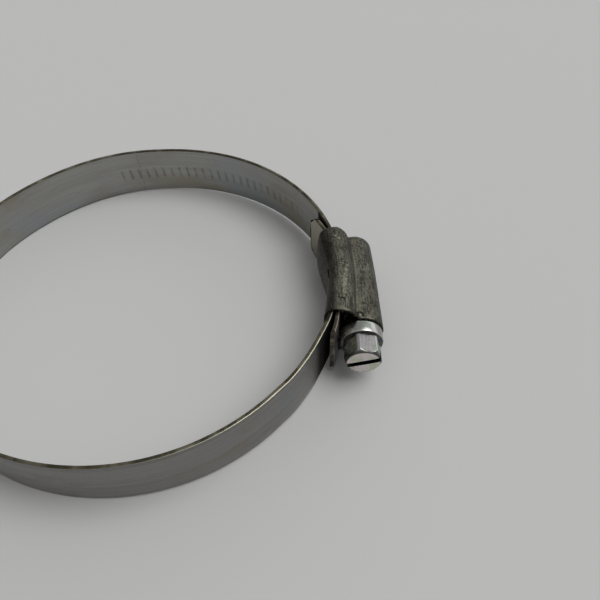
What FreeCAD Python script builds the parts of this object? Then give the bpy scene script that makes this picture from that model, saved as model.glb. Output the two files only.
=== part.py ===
import FreeCAD, Part
import math
import os

# A worm-drive hose clamp: one spring-steel band, one pressed housing and one screw.
# Millimetres. Z is the axis of the ring, the housing sits on +X, the screw runs along Y
# and its head points to -Y. The origin is the centre of the seat, half way up the band.
# The band is a single flexible strip. It is cut here into short lengths that turn on
# each other, so that the ring can draw in as the screw feeds the threaded end through.

# Band
BAND_WIDTH = 12.0
BAND_THICK = 0.8
SEAT_RADIUS = 41.6
LINK_COUNT = 8
HINGE_GAP = 0.12
FIXED_END_AZIMUTH = -30.0
LINKS_END_AZIMUTH = 98.0
OPEN_GAP = 0.8
OPEN_SCARF = 1.3
TONGUE_AZIMUTH = 24.5
TONGUE_LEAN = 3.0
TONGUE_LEAN_RADIUS = 30.0
TONGUE_CORNER_RADIUS = 3.0
STEP_BEND_RADIUS = 8.0
STEP_GAP = 0.3
TAIL_STRAIGHT_FROM = 8.5
TAIL_STRAIGHT_LENGTH = 8.1
TAIL_CORNER_RADIUS = 0.8

# Pressed thread in the band, and the worm that runs in it. The worm has a whole number of
# turns and a half on the near side, so that its ridge meets the band's side at y = 0.
PITCH = 2.13
GROOVE_DEPTH = 0.45
GROOVE_TOP = 1.1
GROOVE_FLOOR = 0.8
GROOVE_LENGTH = 3.4
GROOVE_END_AZIMUTH = 107.0
MESH_DEPTH = 0.35
WORM_RADIUS = 3.4
WORM_CORE_RADIUS = 2.5
WORM_ROOT_WIDTH = 1.0
WORM_TIP_WIDTH = 0.5
WORM_TURNS_NEAR = 3.5
WORM_TURNS_FAR = 2.0

# Housing, pressed and wrapped from one sheet
SHEET = 0.75
WRAP_NEAR = -11.6
WRAP_FAR = 11.3
WRAP_END_RADIUS = 2.6
SHOULDER_OFFSET = 1.8
SHOULDER_RADIUS = 2.5
CREASE_OFFSET = 0.8
CREASE_Z = 4.1
SADDLE_CHAMFER = 0.8
TUBE_NEAR = -12.5
TUBE_FAR = 11.3
TUBE_END_RADIUS = 2.2
TUBE_TAPER = 0.2
SEAM_WIDTH = 0.25
SEAM_DEPTH = 0.35
LOCK_SIZE = 2.0
LOCK_Y = -9.0
LOCK_DEPTH = 0.45
RETAINER_Y = -11.3
RETAINER_RADIUS = 1.0
RETAINER_TIP_RADIUS = 0.55
RETAINER_DENT_RADIUS = 0.6

# Screw
HEX_ACROSS_FLATS = 7.0
HEX_SIDES = 6
HEAD_TURN = 15.5
HEX_LENGTH = 4.6
HEX_FACE_RADIUS = 3.25
HEX_CHAMFER_LENGTH = 0.75
COLLAR_RADIUS = 4.4
COLLAR_LENGTH = 1.9
COLLAR_DOME_RADIUS = 1.0
COLLAR_EDGE_LENGTH = 0.35
NECK_RADIUS = 2.6
JOURNAL_RADIUS = 2.3
SLOT_WIDTH = 1.0
SLOT_DEPTH = 1.9
TIP_CHAMFER_LENGTH = 0.4

# Clearances
LAYER_GAP = 0.05
SLIDE_GAP = 0.15
EDGE_GAP = 0.1
BORE_GAP = 0.15
COLLAR_GAP = 0.2
TIP_GAP = 0.4
NECK_GAP = 0.3
MOUTH_GAP = 0.9

# Working values: the tolerance for picking an edge, the facets of a turned rounding, a
# quarter turn in degrees, how far a cutting tool runs past a face, and how deep a raised
# piece is set into its body.
TOUCH = 0.01
ROUND_STEPS = 3
QUARTER_TURN = 90.0
OVERCUT_LENGTH = 1.0
SINK_DEPTH = 0.15

HALF_WIDTH = BAND_WIDTH / 2.0
HALF_THICK = BAND_THICK / 2.0
RING_RADIUS = SEAT_RADIUS + HALF_THICK
FIXED_RADIUS = SEAT_RADIUS + SHEET + LAYER_GAP + HALF_THICK
# The threaded end is an arc of the ring's own radius round a centre shifted to +X, so
# that it passes outside the fixed end in the housing and meets the ring beyond it.
FEED_SHIFT = FIXED_RADIUS + HALF_THICK + SLIDE_GAP + HALF_THICK - RING_RADIUS
FEED_OUTER = RING_RADIUS + HALF_THICK
SCREW_X = FEED_SHIFT + FEED_OUTER - MESH_DEPTH + WORM_RADIUS
TUBE_INNER = WORM_RADIUS + BORE_GAP
TUBE_OUTER = TUBE_INNER + SHEET
SHOULDER_X = SCREW_X - SHOULDER_OFFSET
CREASE_X = SCREW_X - CREASE_OFFSET
MESH_RADIUS = FEED_OUTER - MESH_DEPTH / 2.0
GROOVE_STEP = math.degrees(PITCH / MESH_RADIUS)
LEAD_ANGLE = math.degrees(math.atan(PITCH / (2.0 * math.pi * WORM_RADIUS)))
LINK_SPAN = (360.0 - LINKS_END_AZIMUTH + FIXED_END_AZIMUTH) / LINK_COUNT

UP = FreeCAD.Vector(0, 0, 1)
ALONG = FreeCAD.Vector(0, 1, 0)


def polar(radius, azimuth, height=0.0):
    angle = math.radians(azimuth)
    return FreeCAD.Vector(radius * math.cos(angle), radius * math.sin(angle), height)


def ribbon(start, heading, runs):
    """Solid strip along straight and round runs, in plan; a positive radius turns right."""
    place = FreeCAD.Vector(start)
    angle = math.radians(heading)
    left_edges = []
    right_edges = []
    first = None
    for length, radius in runs:
        ahead = FreeCAD.Vector(math.cos(angle), math.sin(angle), 0)
        left = FreeCAD.Vector(-ahead.y, ahead.x, 0)
        if first is None:
            first = (place + left * HALF_THICK, place - left * HALF_THICK)
        if radius is None:
            end = place + ahead * length
            for edges, side in ((left_edges, 1.0), (right_edges, -1.0)):
                shift = left * (side * HALF_THICK)
                edges.append(Part.LineSegment(place + shift, end + shift).toShape())
        else:
            centre = place - left * radius
            turn = length / radius
            for edges, side in ((left_edges, 1.0), (right_edges, -1.0)):
                arm = left * (radius + side * HALF_THICK)
                points = [centre + turned(arm, -turn * part) for part in (0.0, 0.5, 1.0)]
                edges.append(Part.Arc(*points).toShape())
            end = centre + turned(left * radius, -turn)
            angle -= turn
        place = end
    ahead = FreeCAD.Vector(math.cos(angle), math.sin(angle), 0)
    left = FreeCAD.Vector(-ahead.y, ahead.x, 0)
    last = (place + left * HALF_THICK, place - left * HALF_THICK)
    edges = left_edges + [Part.LineSegment(*last).toShape()]
    edges += right_edges + [Part.LineSegment(*first).toShape()]
    outline = Part.Wire(Part.__sortEdges__(edges))
    face = Part.Face(outline)
    face.translate(FreeCAD.Vector(0, 0, -HALF_WIDTH))
    return face.extrude(FreeCAD.Vector(0, 0, BAND_WIDTH))


def turned(vector, angle):
    """A plan vector turned left by an angle in radians."""
    cosine = math.cos(angle)
    sine = math.sin(angle)
    return FreeCAD.Vector(vector.x * cosine - vector.y * sine, vector.x * sine + vector.y * cosine, 0)


def arc_length(radius, degrees):
    return radius * math.radians(degrees)


def round_corners(strip, near_point, radius):
    """Round the two corners of a strip's end, seen square to its face."""
    corners = []
    for edge in strip.Edges:
        middle = edge.CenterOfMass
        thin = abs(edge.Length - BAND_THICK) < BAND_THICK / 4.0
        at_rim = abs(abs(middle.z) - HALF_WIDTH) < TOUCH
        close = math.hypot(middle.x - near_point.x, middle.y - near_point.y) < BAND_THICK
        if thin and at_rim and close:
            corners.append(edge)
    return strip.makeFillet(radius, corners)


def groove_tools(centre, azimuths):
    """Trapezoid bars that press the thread into the outer face, square to the arc."""
    tools = []
    slope = (GROOVE_TOP - GROOVE_FLOOR) / 2.0 / GROOVE_DEPTH
    floor = FEED_OUTER - GROOVE_DEPTH
    top = FEED_OUTER + OVERCUT_LENGTH
    half_floor = GROOVE_FLOOR / 2.0
    half_top = GROOVE_TOP / 2.0 + slope * OVERCUT_LENGTH
    outline = Part.makePolygon([
        FreeCAD.Vector(floor, -half_floor, -GROOVE_LENGTH / 2.0),
        FreeCAD.Vector(top, -half_top, -GROOVE_LENGTH / 2.0),
        FreeCAD.Vector(top, half_top, -GROOVE_LENGTH / 2.0),
        FreeCAD.Vector(floor, half_floor, -GROOVE_LENGTH / 2.0),
        FreeCAD.Vector(floor, -half_floor, -GROOVE_LENGTH / 2.0)])
    bar = Part.Face(outline).extrude(FreeCAD.Vector(0, 0, GROOVE_LENGTH))
    bar.rotate(FreeCAD.Vector(FEED_OUTER, 0, 0), FreeCAD.Vector(1, 0, 0), -LEAD_ANGLE)
    for azimuth in azimuths:
        tool = bar.copy()
        tool.rotate(FreeCAD.Vector(0, 0, 0), UP, azimuth)
        tool.translate(centre)
        tools.append(tool)
    return Part.makeCompound(tools)


def band_fixed_end():
    """Tongue under the far side, the layer locked in the housing, the step and the near arc."""
    step_turn = math.degrees(math.acos(RING_RADIUS / FIXED_RADIUS))
    step_length = FIXED_RADIUS * math.sin(math.radians(step_turn))
    bend_length = arc_length(STEP_BEND_RADIUS, step_turn)
    bend_tangent = STEP_BEND_RADIUS * math.tan(math.radians(step_turn / 2.0))
    housing_azimuth = math.degrees(math.asin(WRAP_FAR / FIXED_RADIUS))
    lean_length = arc_length(TONGUE_LEAN_RADIUS, TONGUE_LEAN)
    start_azimuth = -math.degrees(math.asin((STEP_GAP - WRAP_NEAR) / FIXED_RADIUS))
    arc_in = arc_length(FIXED_RADIUS, housing_azimuth - start_azimuth)
    ring_start = start_azimuth - math.degrees(bend_tangent / FIXED_RADIUS) - step_turn
    first_hinge = FIXED_END_AZIMUTH - LINK_SPAN / 2.0
    ring_arc = arc_length(RING_RADIUS, ring_start - first_hinge) - HINGE_GAP / 2.0
    near = ribbon(polar(FIXED_RADIUS, housing_azimuth), housing_azimuth - QUARTER_TURN, [
        (arc_in, FIXED_RADIUS),
        (bend_length, STEP_BEND_RADIUS),
        (step_length - bend_tangent, None),
        (ring_arc, RING_RADIUS)])
    # The tongue is laid off the other way, so its left side is the ring's inside.
    tongue_arc = arc_length(FIXED_RADIUS, TONGUE_AZIMUTH - housing_azimuth) - lean_length
    tongue = ribbon(polar(FIXED_RADIUS, housing_azimuth), housing_azimuth + QUARTER_TURN, [
        (lean_length, -TONGUE_LEAN_RADIUS),
        (tongue_arc, -FIXED_RADIUS)])
    tip = polar(FIXED_RADIUS, TONGUE_AZIMUTH)
    ends = sorted(tongue.Faces, key=lambda face: face.CenterOfMass.distanceToPoint(tip))
    tongue = round_corners(tongue, ends[0].CenterOfMass, TONGUE_CORNER_RADIUS)
    strip = near.fuse(tongue).removeSplitter()
    notch_depth = LOCK_DEPTH + LAYER_GAP
    for side in (1.0, -1.0):
        notch = lock_block(side, HALF_WIDTH - notch_depth, 2.0 * notch_depth, LAYER_GAP)
        strip = strip.cut(notch)
    return strip


def lock_block(side, bottom, height, gap):
    """Block at one of the two places where the housing is pressed into the band's edge."""
    furthest = abs(LOCK_Y) + LOCK_SIZE / 2.0
    low = math.sqrt((SEAT_RADIUS + SHEET / 2.0) ** 2 - furthest ** 2)
    high = math.sqrt((FIXED_RADIUS + HALF_THICK) ** 2 - furthest ** 2)
    block = Part.makeBox(
        high - low, LOCK_SIZE + 2.0 * gap, height,
        FreeCAD.Vector(low, LOCK_Y - LOCK_SIZE / 2.0 - gap, bottom))
    if side < 0:
        block = block.mirror(FreeCAD.Vector(0, 0, 0), UP)
    return block


def hinge_azimuth(index):
    return FIXED_END_AZIMUTH - (index + 0.5) * LINK_SPAN


def groove_azimuths_on_ring():
    """The thread runs on past the shifted arc, round the ring's own centre."""
    straight = math.degrees(FEED_SHIFT / RING_RADIUS)
    azimuths = []
    index = int((QUARTER_TURN + straight) / GROOVE_STEP) + 1
    while index * GROOVE_STEP - straight < GROOVE_END_AZIMUTH:
        azimuths.append(index * GROOVE_STEP - straight)
        index += 1
    return azimuths


def clear_of_open_gap(azimuth):
    away = arc_length(RING_RADIUS, abs(azimuth - LINKS_END_AZIMUTH))
    return away > OPEN_GAP / 2.0 + OPEN_SCARF * HALF_THICK + GROOVE_TOP / 2.0


def band_link(index):
    """One length of the ring, from its own hinge to the next one."""
    start = hinge_azimuth(index)
    half_gap = math.degrees(HINGE_GAP / 2.0 / RING_RADIUS)
    last = index == LINK_COUNT - 1
    end = LINKS_END_AZIMUTH - 360.0 if last else hinge_azimuth(index + 1) + half_gap
    span = start - half_gap - end
    strip = ribbon(polar(RING_RADIUS, start - half_gap), start - half_gap - QUARTER_TURN, [
        (arc_length(RING_RADIUS, span), RING_RADIUS)])
    if last:
        strip = strip.cut(scarf(-1.0))
        beyond = [azimuth for azimuth in groove_azimuths_on_ring()
                  if azimuth > LINKS_END_AZIMUTH and clear_of_open_gap(azimuth)]
        strip = strip.cut(groove_tools(FreeCAD.Vector(0, 0, 0), beyond))
    return strip


def scarf(side):
    """Slanting tool that leaves the open gap between the last link and the threaded end."""
    inner = SEAT_RADIUS - OVERCUT_LENGTH
    outer = SEAT_RADIUS + BAND_THICK + OVERCUT_LENGTH
    lean_in = OPEN_SCARF * (OVERCUT_LENGTH + HALF_THICK)
    near_x = side * OPEN_GAP / 2.0
    beyond = -side * BAND_WIDTH
    bottom = -HALF_WIDTH - OVERCUT_LENGTH
    points = [
        FreeCAD.Vector(near_x + lean_in, inner, bottom),
        FreeCAD.Vector(near_x - lean_in, outer, bottom),
        FreeCAD.Vector(beyond, outer, bottom),
        FreeCAD.Vector(beyond, inner, bottom)]
    face = Part.Face(Part.makePolygon(points + points[:1]))
    tool = face.extrude(FreeCAD.Vector(0, 0, BAND_WIDTH + 2.0 * OVERCUT_LENGTH))
    tool.rotate(FreeCAD.Vector(0, 0, 0), UP, LINKS_END_AZIMUTH - QUARTER_TURN)
    return tool


def band_threaded_end():
    """The end that the screw feeds: an arc with the pressed thread, and the straight tail."""
    centre = FreeCAD.Vector(FEED_SHIFT, 0, 0)
    tail_azimuth = -math.degrees(math.asin(TAIL_STRAIGHT_FROM / RING_RADIUS))
    ring_arc = LINKS_END_AZIMUTH - QUARTER_TURN
    strip = ribbon(polar(RING_RADIUS, LINKS_END_AZIMUTH), ring_arc, [
        (arc_length(RING_RADIUS, ring_arc), RING_RADIUS),
        (FEED_SHIFT, None),
        (arc_length(RING_RADIUS, QUARTER_TURN - tail_azimuth), RING_RADIUS),
        (TAIL_STRAIGHT_LENGTH, None)])
    strip = strip.cut(scarf(1.0))
    lowest = min(strip.Vertexes, key=lambda corner: corner.Point.y).Point
    strip = round_corners(strip, lowest, TAIL_CORNER_RADIUS)
    near_count = int(-tail_azimuth / GROOVE_STEP)
    far_count = int(QUARTER_TURN / GROOVE_STEP)
    azimuths = [index * GROOVE_STEP for index in range(-near_count, far_count + 1)]
    beyond = [azimuth for azimuth in groove_azimuths_on_ring()
              if azimuth < LINKS_END_AZIMUTH and clear_of_open_gap(azimuth)]
    strip = strip.cut(groove_tools(centre, azimuths))
    return strip.cut(groove_tools(FreeCAD.Vector(0, 0, 0), beyond))


def section_face(points_and_rounds, y):
    """Closed outline in the X-Z plane at a given y; each corner may be rounded."""
    corners = [FreeCAD.Vector(x, y, z) for x, z, _ in points_and_rounds]
    rounds = [size for _, _, size in points_and_rounds]
    count = len(corners)
    edges = []
    leaves = []
    arrives = []
    for index in range(count):
        here = corners[index]
        to_last = (corners[index - 1] - here).normalize()
        to_next = (corners[(index + 1) % count] - here).normalize()
        half = to_last.getAngle(to_next) / 2.0
        back = rounds[index] / math.tan(half)
        arrives.append(here + to_last * back)
        leaves.append(here + to_next * back)
        if rounds[index] > 0:
            middle_way = (to_last + to_next).normalize()
            centre = here + middle_way * (rounds[index] / math.sin(half))
            crown = centre - middle_way * rounds[index]
            edges.append(Part.Arc(arrives[index], crown, leaves[index]).toShape())
    for index in range(count):
        following = (index + 1) % count
        edges.append(Part.LineSegment(leaves[index], arrives[following]).toShape())
    return Part.Face(Part.Wire(Part.__sortEdges__(edges)))


def ring_cylinder(radius, tall):
    """Cylinder on the ring's axis, with its seam on the side away from the housing."""
    cylinder = Part.makeCylinder(radius, tall, FreeCAD.Vector(0, 0, -tall / 2.0), UP)
    cylinder.rotate(FreeCAD.Vector(0, 0, 0), UP, 180)
    return cylinder


def curled_block(top_x, far_y, rounding, tall):
    """Block that bounds the wrap in plan; its far outer corner is curled over."""
    near_y = WRAP_NEAR - OVERCUT_LENGTH
    block = Part.makeBox(top_x, far_y - near_y, tall, FreeCAD.Vector(0, near_y, -tall / 2.0))
    corner = []
    for edge in block.Edges:
        middle = edge.CenterOfMass
        if abs(middle.x - top_x) < TOUCH and abs(middle.y - far_y) < TOUCH:
            corner.append(edge)
    return block.makeFillet(rounding, corner)


def wrap_and_channel():
    """The wrap round the band as a solid, and the hollow that the band runs through."""
    side = HALF_WIDTH + EDGE_GAP + SHEET
    length = WRAP_FAR - WRAP_NEAR
    tall = 2.0 * (side + OVERCUT_LENGTH)
    below = SEAT_RADIUS - length / 2.0
    outline = section_face([
        (below, -side, 0.0),
        (SHOULDER_X, -side, SHOULDER_RADIUS),
        (CREASE_X, -CREASE_Z, 0.0),
        (CREASE_X, CREASE_Z, 0.0),
        (SHOULDER_X, side, SHOULDER_RADIUS),
        (below, side, 0.0)], WRAP_NEAR)
    wrap = outline.extrude(ALONG * length).cut(ring_cylinder(SEAT_RADIUS, tall))
    saddle_edges = []
    for edge in wrap.Edges:
        middle = edge.CenterOfMass
        on_side = abs(abs(middle.z) - side) < TOUCH
        low = middle.x < SEAT_RADIUS + TOUCH
        if on_side and low and edge.Length > length - TOUCH:
            saddle_edges.append(edge)
    wrap = wrap.makeChamfer(SADDLE_CHAMFER, saddle_edges)
    wrap = wrap.common(curled_block(CREASE_X, WRAP_FAR, WRAP_END_RADIUS, tall))
    channel = outline.makeOffset2D(-SHEET).extrude(ALONG * (length + 2.0 * OVERCUT_LENGTH))
    channel.translate(ALONG * -OVERCUT_LENGTH)
    channel = channel.cut(ring_cylinder(SEAT_RADIUS + SHEET, tall))
    # The far end is closed down to a mouth that leaves room for the band alone.
    inside_far = WRAP_FAR - SHEET
    mouth_top = FEED_SHIFT + math.sqrt(FEED_OUTER ** 2 - inside_far ** 2) + MOUTH_GAP
    mouth = Part.makeBox(
        mouth_top, length + 4.0 * OVERCUT_LENGTH, tall,
        FreeCAD.Vector(0, WRAP_NEAR - 2.0 * OVERCUT_LENGTH, -tall / 2.0))
    hollow = curled_block(CREASE_X - SHEET, inside_far, WRAP_END_RADIUS - SHEET, tall)
    return wrap, channel.common(hollow.fuse(mouth))


def housing():
    """Saddle, side walls and shoulders round the band, with the screw's tube on top."""
    wrap, channel = wrap_and_channel()
    tube = revolve(
        [(TUBE_NEAR, 0.0), (TUBE_NEAR, TUBE_OUTER + TUBE_TAPER)]
        + turned_rounding(TUBE_FAR, TUBE_OUTER - TUBE_TAPER, TUBE_END_RADIUS, 1.0)
        + [(TUBE_FAR, 0.0)])
    bore_near = TUBE_NEAR - OVERCUT_LENGTH
    bore_far = TUBE_FAR - SHEET
    bore = revolve(
        [(bore_near, 0.0), (bore_near, TUBE_INNER)]
        + turned_rounding(bore_far, TUBE_INNER, TUBE_END_RADIUS - SHEET, 1.0)
        + [(bore_far, 0.0)])
    body = wrap.fuse(tube).cut(channel).cut(bore)
    # The sheet's two edges meet along the middle of the saddle.
    seam = Part.makeBox(
        SEAT_RADIUS, WRAP_FAR - WRAP_NEAR + 2.0 * OVERCUT_LENGTH, SEAM_WIDTH,
        FreeCAD.Vector(0, WRAP_NEAR - OVERCUT_LENGTH, -SEAM_WIDTH / 2.0))
    seam.translate(FreeCAD.Vector(SEAM_DEPTH, 0, 0))
    body = body.cut(seam.common(ring_cylinder(SEAT_RADIUS + SEAM_DEPTH, BAND_WIDTH)))
    side = HALF_WIDTH + EDGE_GAP + SHEET
    lock_bottom = HALF_WIDTH - LOCK_DEPTH
    lock_height = side - SHEET / 2.0 - lock_bottom
    bump_from = NECK_RADIUS + NECK_GAP
    bump_height = TUBE_INNER + SHEET / 2.0 - bump_from
    dent_from = TUBE_OUTER - RETAINER_DENT_RADIUS
    for sign in (1.0, -1.0):
        inward = UP * sign
        bump = Part.makeCone(
            RETAINER_TIP_RADIUS, RETAINER_RADIUS, bump_height,
            FreeCAD.Vector(SCREW_X, RETAINER_Y, 0) + inward * bump_from, inward)
        dent = Part.makeCone(
            RETAINER_DENT_RADIUS / 2.0, RETAINER_DENT_RADIUS * 1.5, 2.0 * RETAINER_DENT_RADIUS,
            FreeCAD.Vector(SCREW_X, RETAINER_Y, 0) + inward * dent_from, inward)
        body = body.fuse(bump).cut(dent)
        body = body.fuse(lock_block(sign, lock_bottom, lock_height, 0.0))
        body = body.cut(lock_block(sign, side - LOCK_DEPTH, 2.0 * LOCK_DEPTH, 0.0))
    return body.removeSplitter()


def turned_face(points):
    """Face bounded by (y, radius) points on the screw's axis, ready to revolve."""
    corners = [FreeCAD.Vector(SCREW_X + radius, y, 0) for y, radius in points]
    return Part.Face(Part.makePolygon(corners + corners[:1]))


def revolve(points):
    return turned_face(points).revolve(FreeCAD.Vector(SCREW_X, 0, 0), ALONG, 360)


def turned_rounding(end_y, radius, size, side):
    """(y, radius) points of a rounded rim, from the outside to the end face."""
    points = []
    for step in range(ROUND_STEPS + 1):
        angle = math.pi / 2.0 * step / ROUND_STEPS
        y = end_y - side * size * (1.0 - math.sin(angle))
        points.append((y, radius - size * (1.0 - math.cos(angle))))
    return points


def screw():
    """Worm, neck, domed collar and slotted hexagon head, in one piece."""
    collar_far = TUBE_NEAR - COLLAR_GAP
    collar_near = collar_far - COLLAR_LENGTH
    head_end = collar_near - HEX_LENGTH
    worm_near = -PITCH * WORM_TURNS_NEAR
    worm_far = PITCH * WORM_TURNS_FAR
    tip = TUBE_FAR - SHEET - TIP_GAP
    shaft = revolve([
        (collar_far, 0.0),
        (collar_far, NECK_RADIUS),
        (worm_near - WORM_ROOT_WIDTH, NECK_RADIUS),
        (worm_near - WORM_ROOT_WIDTH, WORM_CORE_RADIUS),
        (worm_far + WORM_ROOT_WIDTH, WORM_CORE_RADIUS),
        (worm_far + WORM_ROOT_WIDTH, JOURNAL_RADIUS),
        (tip - TIP_CHAMFER_LENGTH, JOURNAL_RADIUS),
        (tip, JOURNAL_RADIUS - TIP_CHAMFER_LENGTH),
        (tip, 0.0)])
    collar = revolve(
        [(collar_far, 0.0),
         (collar_far, COLLAR_RADIUS - COLLAR_EDGE_LENGTH),
         (collar_far - COLLAR_EDGE_LENGTH, COLLAR_RADIUS)]
        + turned_rounding(collar_near, COLLAR_RADIUS, COLLAR_DOME_RADIUS, -1.0)
        + [(collar_near, 0.0)])
    hex_corner = HEX_ACROSS_FLATS / math.sqrt(3.0)
    corners = []
    for index in range(HEX_SIDES + 1):
        angle = 2.0 * math.pi * (index + 0.5) / HEX_SIDES
        x = SCREW_X + hex_corner * math.cos(angle)
        z = hex_corner * math.sin(angle)
        corners.append(FreeCAD.Vector(x, collar_near + COLLAR_DOME_RADIUS, z))
    hexagon = Part.Face(Part.makePolygon(corners))
    head = hexagon.extrude(ALONG * -(HEX_LENGTH + COLLAR_DOME_RADIUS))
    slope = (hex_corner - HEX_FACE_RADIUS) / HEX_CHAMFER_LENGTH
    cone_far = collar_near + COLLAR_DOME_RADIUS
    crown = revolve([
        (cone_far, 0.0),
        (cone_far, HEX_FACE_RADIUS + slope * (cone_far - head_end)),
        (head_end, HEX_FACE_RADIUS),
        (head_end, 0.0)])
    head = head.common(crown)
    slot = Part.makeBox(
        2.0 * COLLAR_RADIUS, SLOT_DEPTH + OVERCUT_LENGTH, SLOT_WIDTH,
        FreeCAD.Vector(SCREW_X - COLLAR_RADIUS, head_end - OVERCUT_LENGTH, -SLOT_WIDTH / 2.0))
    # The head stands a little turned against the start of the worm.
    head = head.cut(slot)
    head.rotate(FreeCAD.Vector(SCREW_X, 0, 0), ALONG, -HEAD_TURN)
    return shaft.fuse(collar).fuse(head).fuse(worm_thread(worm_near, worm_far)).removeSplitter()


def worm_thread(worm_near, worm_far):
    """Right-hand helical ridge; it crosses the band's side of the core at y = 0."""
    height = worm_far - worm_near
    root = WORM_CORE_RADIUS - SINK_DEPTH
    slope = (WORM_ROOT_WIDTH - WORM_TIP_WIDTH) / 2.0 / (WORM_RADIUS - WORM_CORE_RADIUS)
    half_root = WORM_ROOT_WIDTH / 2.0 + slope * SINK_DEPTH
    half_tip = WORM_TIP_WIDTH / 2.0
    helix = Part.makeHelix(PITCH, height, WORM_CORE_RADIUS)
    outline = Part.makePolygon([
        FreeCAD.Vector(root, 0, -half_root),
        FreeCAD.Vector(WORM_RADIUS, 0, -half_tip),
        FreeCAD.Vector(WORM_RADIUS, 0, half_tip),
        FreeCAD.Vector(root, 0, half_root),
        FreeCAD.Vector(root, 0, -half_root)])
    thread = Part.Wire(helix).makePipeShell([outline], True, True)
    thread.rotate(FreeCAD.Vector(0, 0, 0), FreeCAD.Vector(1, 0, 0), -90)
    thread.translate(FreeCAD.Vector(SCREW_X, worm_near, 0))
    return thread


def main():
    os.makedirs("parts", exist_ok=True)
    pieces = {
        "housing": housing(),
        "screw": screw(),
        "band_fixed_end": band_fixed_end(),
        "band_threaded_end": band_threaded_end(),
    }
    for index in range(LINK_COUNT):
        pieces["band_link_%d" % (index + 1)] = band_link(index)
    for name, shape in pieces.items():
        print(name, "valid", shape.isValid(), "solids", len(shape.Solids), "volume", round(shape.Volume, 2))
        shape.exportStep("parts/%s.step" % name)


main()
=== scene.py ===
import bmesh
import bpy
import math
import numpy as np
from mathutils import Matrix, Vector


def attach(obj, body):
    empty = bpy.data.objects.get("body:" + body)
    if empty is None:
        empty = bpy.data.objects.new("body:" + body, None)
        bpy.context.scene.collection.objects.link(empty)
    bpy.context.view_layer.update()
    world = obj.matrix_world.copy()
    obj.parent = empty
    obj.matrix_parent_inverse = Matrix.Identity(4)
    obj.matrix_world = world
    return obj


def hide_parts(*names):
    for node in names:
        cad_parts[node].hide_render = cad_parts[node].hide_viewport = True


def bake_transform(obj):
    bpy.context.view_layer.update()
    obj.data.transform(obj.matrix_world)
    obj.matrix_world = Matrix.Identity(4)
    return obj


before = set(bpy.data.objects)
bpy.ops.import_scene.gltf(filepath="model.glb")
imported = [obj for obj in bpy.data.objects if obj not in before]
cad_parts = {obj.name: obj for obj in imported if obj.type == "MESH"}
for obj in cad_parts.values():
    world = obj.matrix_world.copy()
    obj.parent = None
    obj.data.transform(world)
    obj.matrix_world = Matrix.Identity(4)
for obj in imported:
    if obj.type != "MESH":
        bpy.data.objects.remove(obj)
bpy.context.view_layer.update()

# The band's fixed end: spring-steel strip, 12 mm wide and 0.8 mm thick, cold rolled, slit to width and
# bent to a ring. A tongue leans in under the far side, and the housing is locked on the next stretch.
# The slit edges keep a dull olive film.
MM = 0.001  # lengths are in millimetres, and azimuths in degrees round the ring from the screw
WIDTH = 12.0
THICK = 0.8
EDGE_ROUND = 0.2
SEAT_R = 41.6
BAND_R = SEAT_R + THICK / 2
FIXED_R = 42.8
TONGUE_END = 23.5
TONGUE_CORNER = 3.0
LEAN_FROM = 12.5
LEAN_SLOPE = 0.155
LEAN_EASE = 0.8
LEAVING_DIP = 0.29
DIP_FROM = -15.5
DIP_TO = -25.5
RING_FROM = -37.25
FEED_CENTRE = 1.75
FAR_SIDE = BAND_R * math.pi / 2 + FEED_CENTRE
STRIP_STEP = 0.3
THREAD_STEP = 0.15


def polar(radius, azimuth):
    return radius * math.cos(math.radians(azimuth)), radius * math.sin(math.radians(azimuth))


def eased(value, low, high):
    part = np.clip((value - low) / (high - low), 0, 1)
    return part * part * (3 - 2 * part)


def even(low, high, count):
    return [low + (high - low) * i / count for i in range(count + 1)]


def ring_length(azimuth):
    """Length of strip from the screw, as the thread is counted."""
    return FAR_SIDE + BAND_R * math.radians(azimuth % 360 - 90.0)


def lay_face(mesh, corners, plans):
    """A smooth face; each corner is a vertex and then its place on every flat plan."""
    face = mesh.faces.new([corner[0] for corner in corners])
    face.smooth = True
    for loop, corner in zip(face.loops, corners):
        for plan, place in zip(plans, corner[1:]):
            loop[plan].uv = place
    return face


def join_rings(mesh, rings, plans=()):
    """Close a row of rings to a solid; gives the side faces, with their place round the ring, and the ends."""
    sides = []
    for near, far in zip(rings, rings[1:]):
        for i in range(len(near)):
            k = (i + 1) % len(near)
            sides.append((i, lay_face(mesh, (near[i], near[k], far[k], far[i]), plans)))
    ends = [lay_face(mesh, ring, plans) for ring in (rings[0], rings[-1])]
    bmesh.ops.recalc_face_normals(mesh, faces=mesh.faces)
    return sides, ends


def placed(name, mesh):
    data = bpy.data.meshes.new(name)
    mesh.to_mesh(data)
    mesh.free()
    piece = bpy.data.objects.new(name, data)
    bpy.context.scene.collection.objects.link(piece)
    return piece


def strip_section(heights):
    """Outline of the strip across its length: (distance out, height), with rounded slit edges."""
    half_w = WIDTH / 2
    half_t = THICK / 2
    section = [(half_t, z) for z in heights]
    for side_in, side_up in ((1, 1), (-1, 1), (-1, -1), (1, -1)):
        corner = []
        for a in even(0, math.pi / 2, 4):
            out = side_in * (half_t - EDGE_ROUND * (1 - math.cos(a)))
            up = side_up * (half_w - EDGE_ROUND * (1 - math.sin(a)))
            corner.append((out, up))
        if side_in * side_up < 0:
            corner.reverse()
        section += corner
        if side_in < 0 < side_up:
            section += [(-half_t, z) for z in reversed(heights)]
    clean = []
    for point in section:
        if not clean or math.dist(point, clean[-1]) > 1e-6:
            clean.append(point)
    if math.dist(clean[0], clean[-1]) < 1e-6:
        clean.pop()
    return clean


def corner_cut(s, end, radius, z):
    """Draw a length back where the strip's end is rounded at its corners."""
    depth = s - end
    if radius == 0 or depth >= radius:
        return s
    over = max(0.0, abs(z) - (WIDTH / 2 - radius))
    reach = radius - math.sqrt(max(0.0, radius ** 2 - over ** 2))
    return end + (reach + depth * (radius - reach) / radius)


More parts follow.
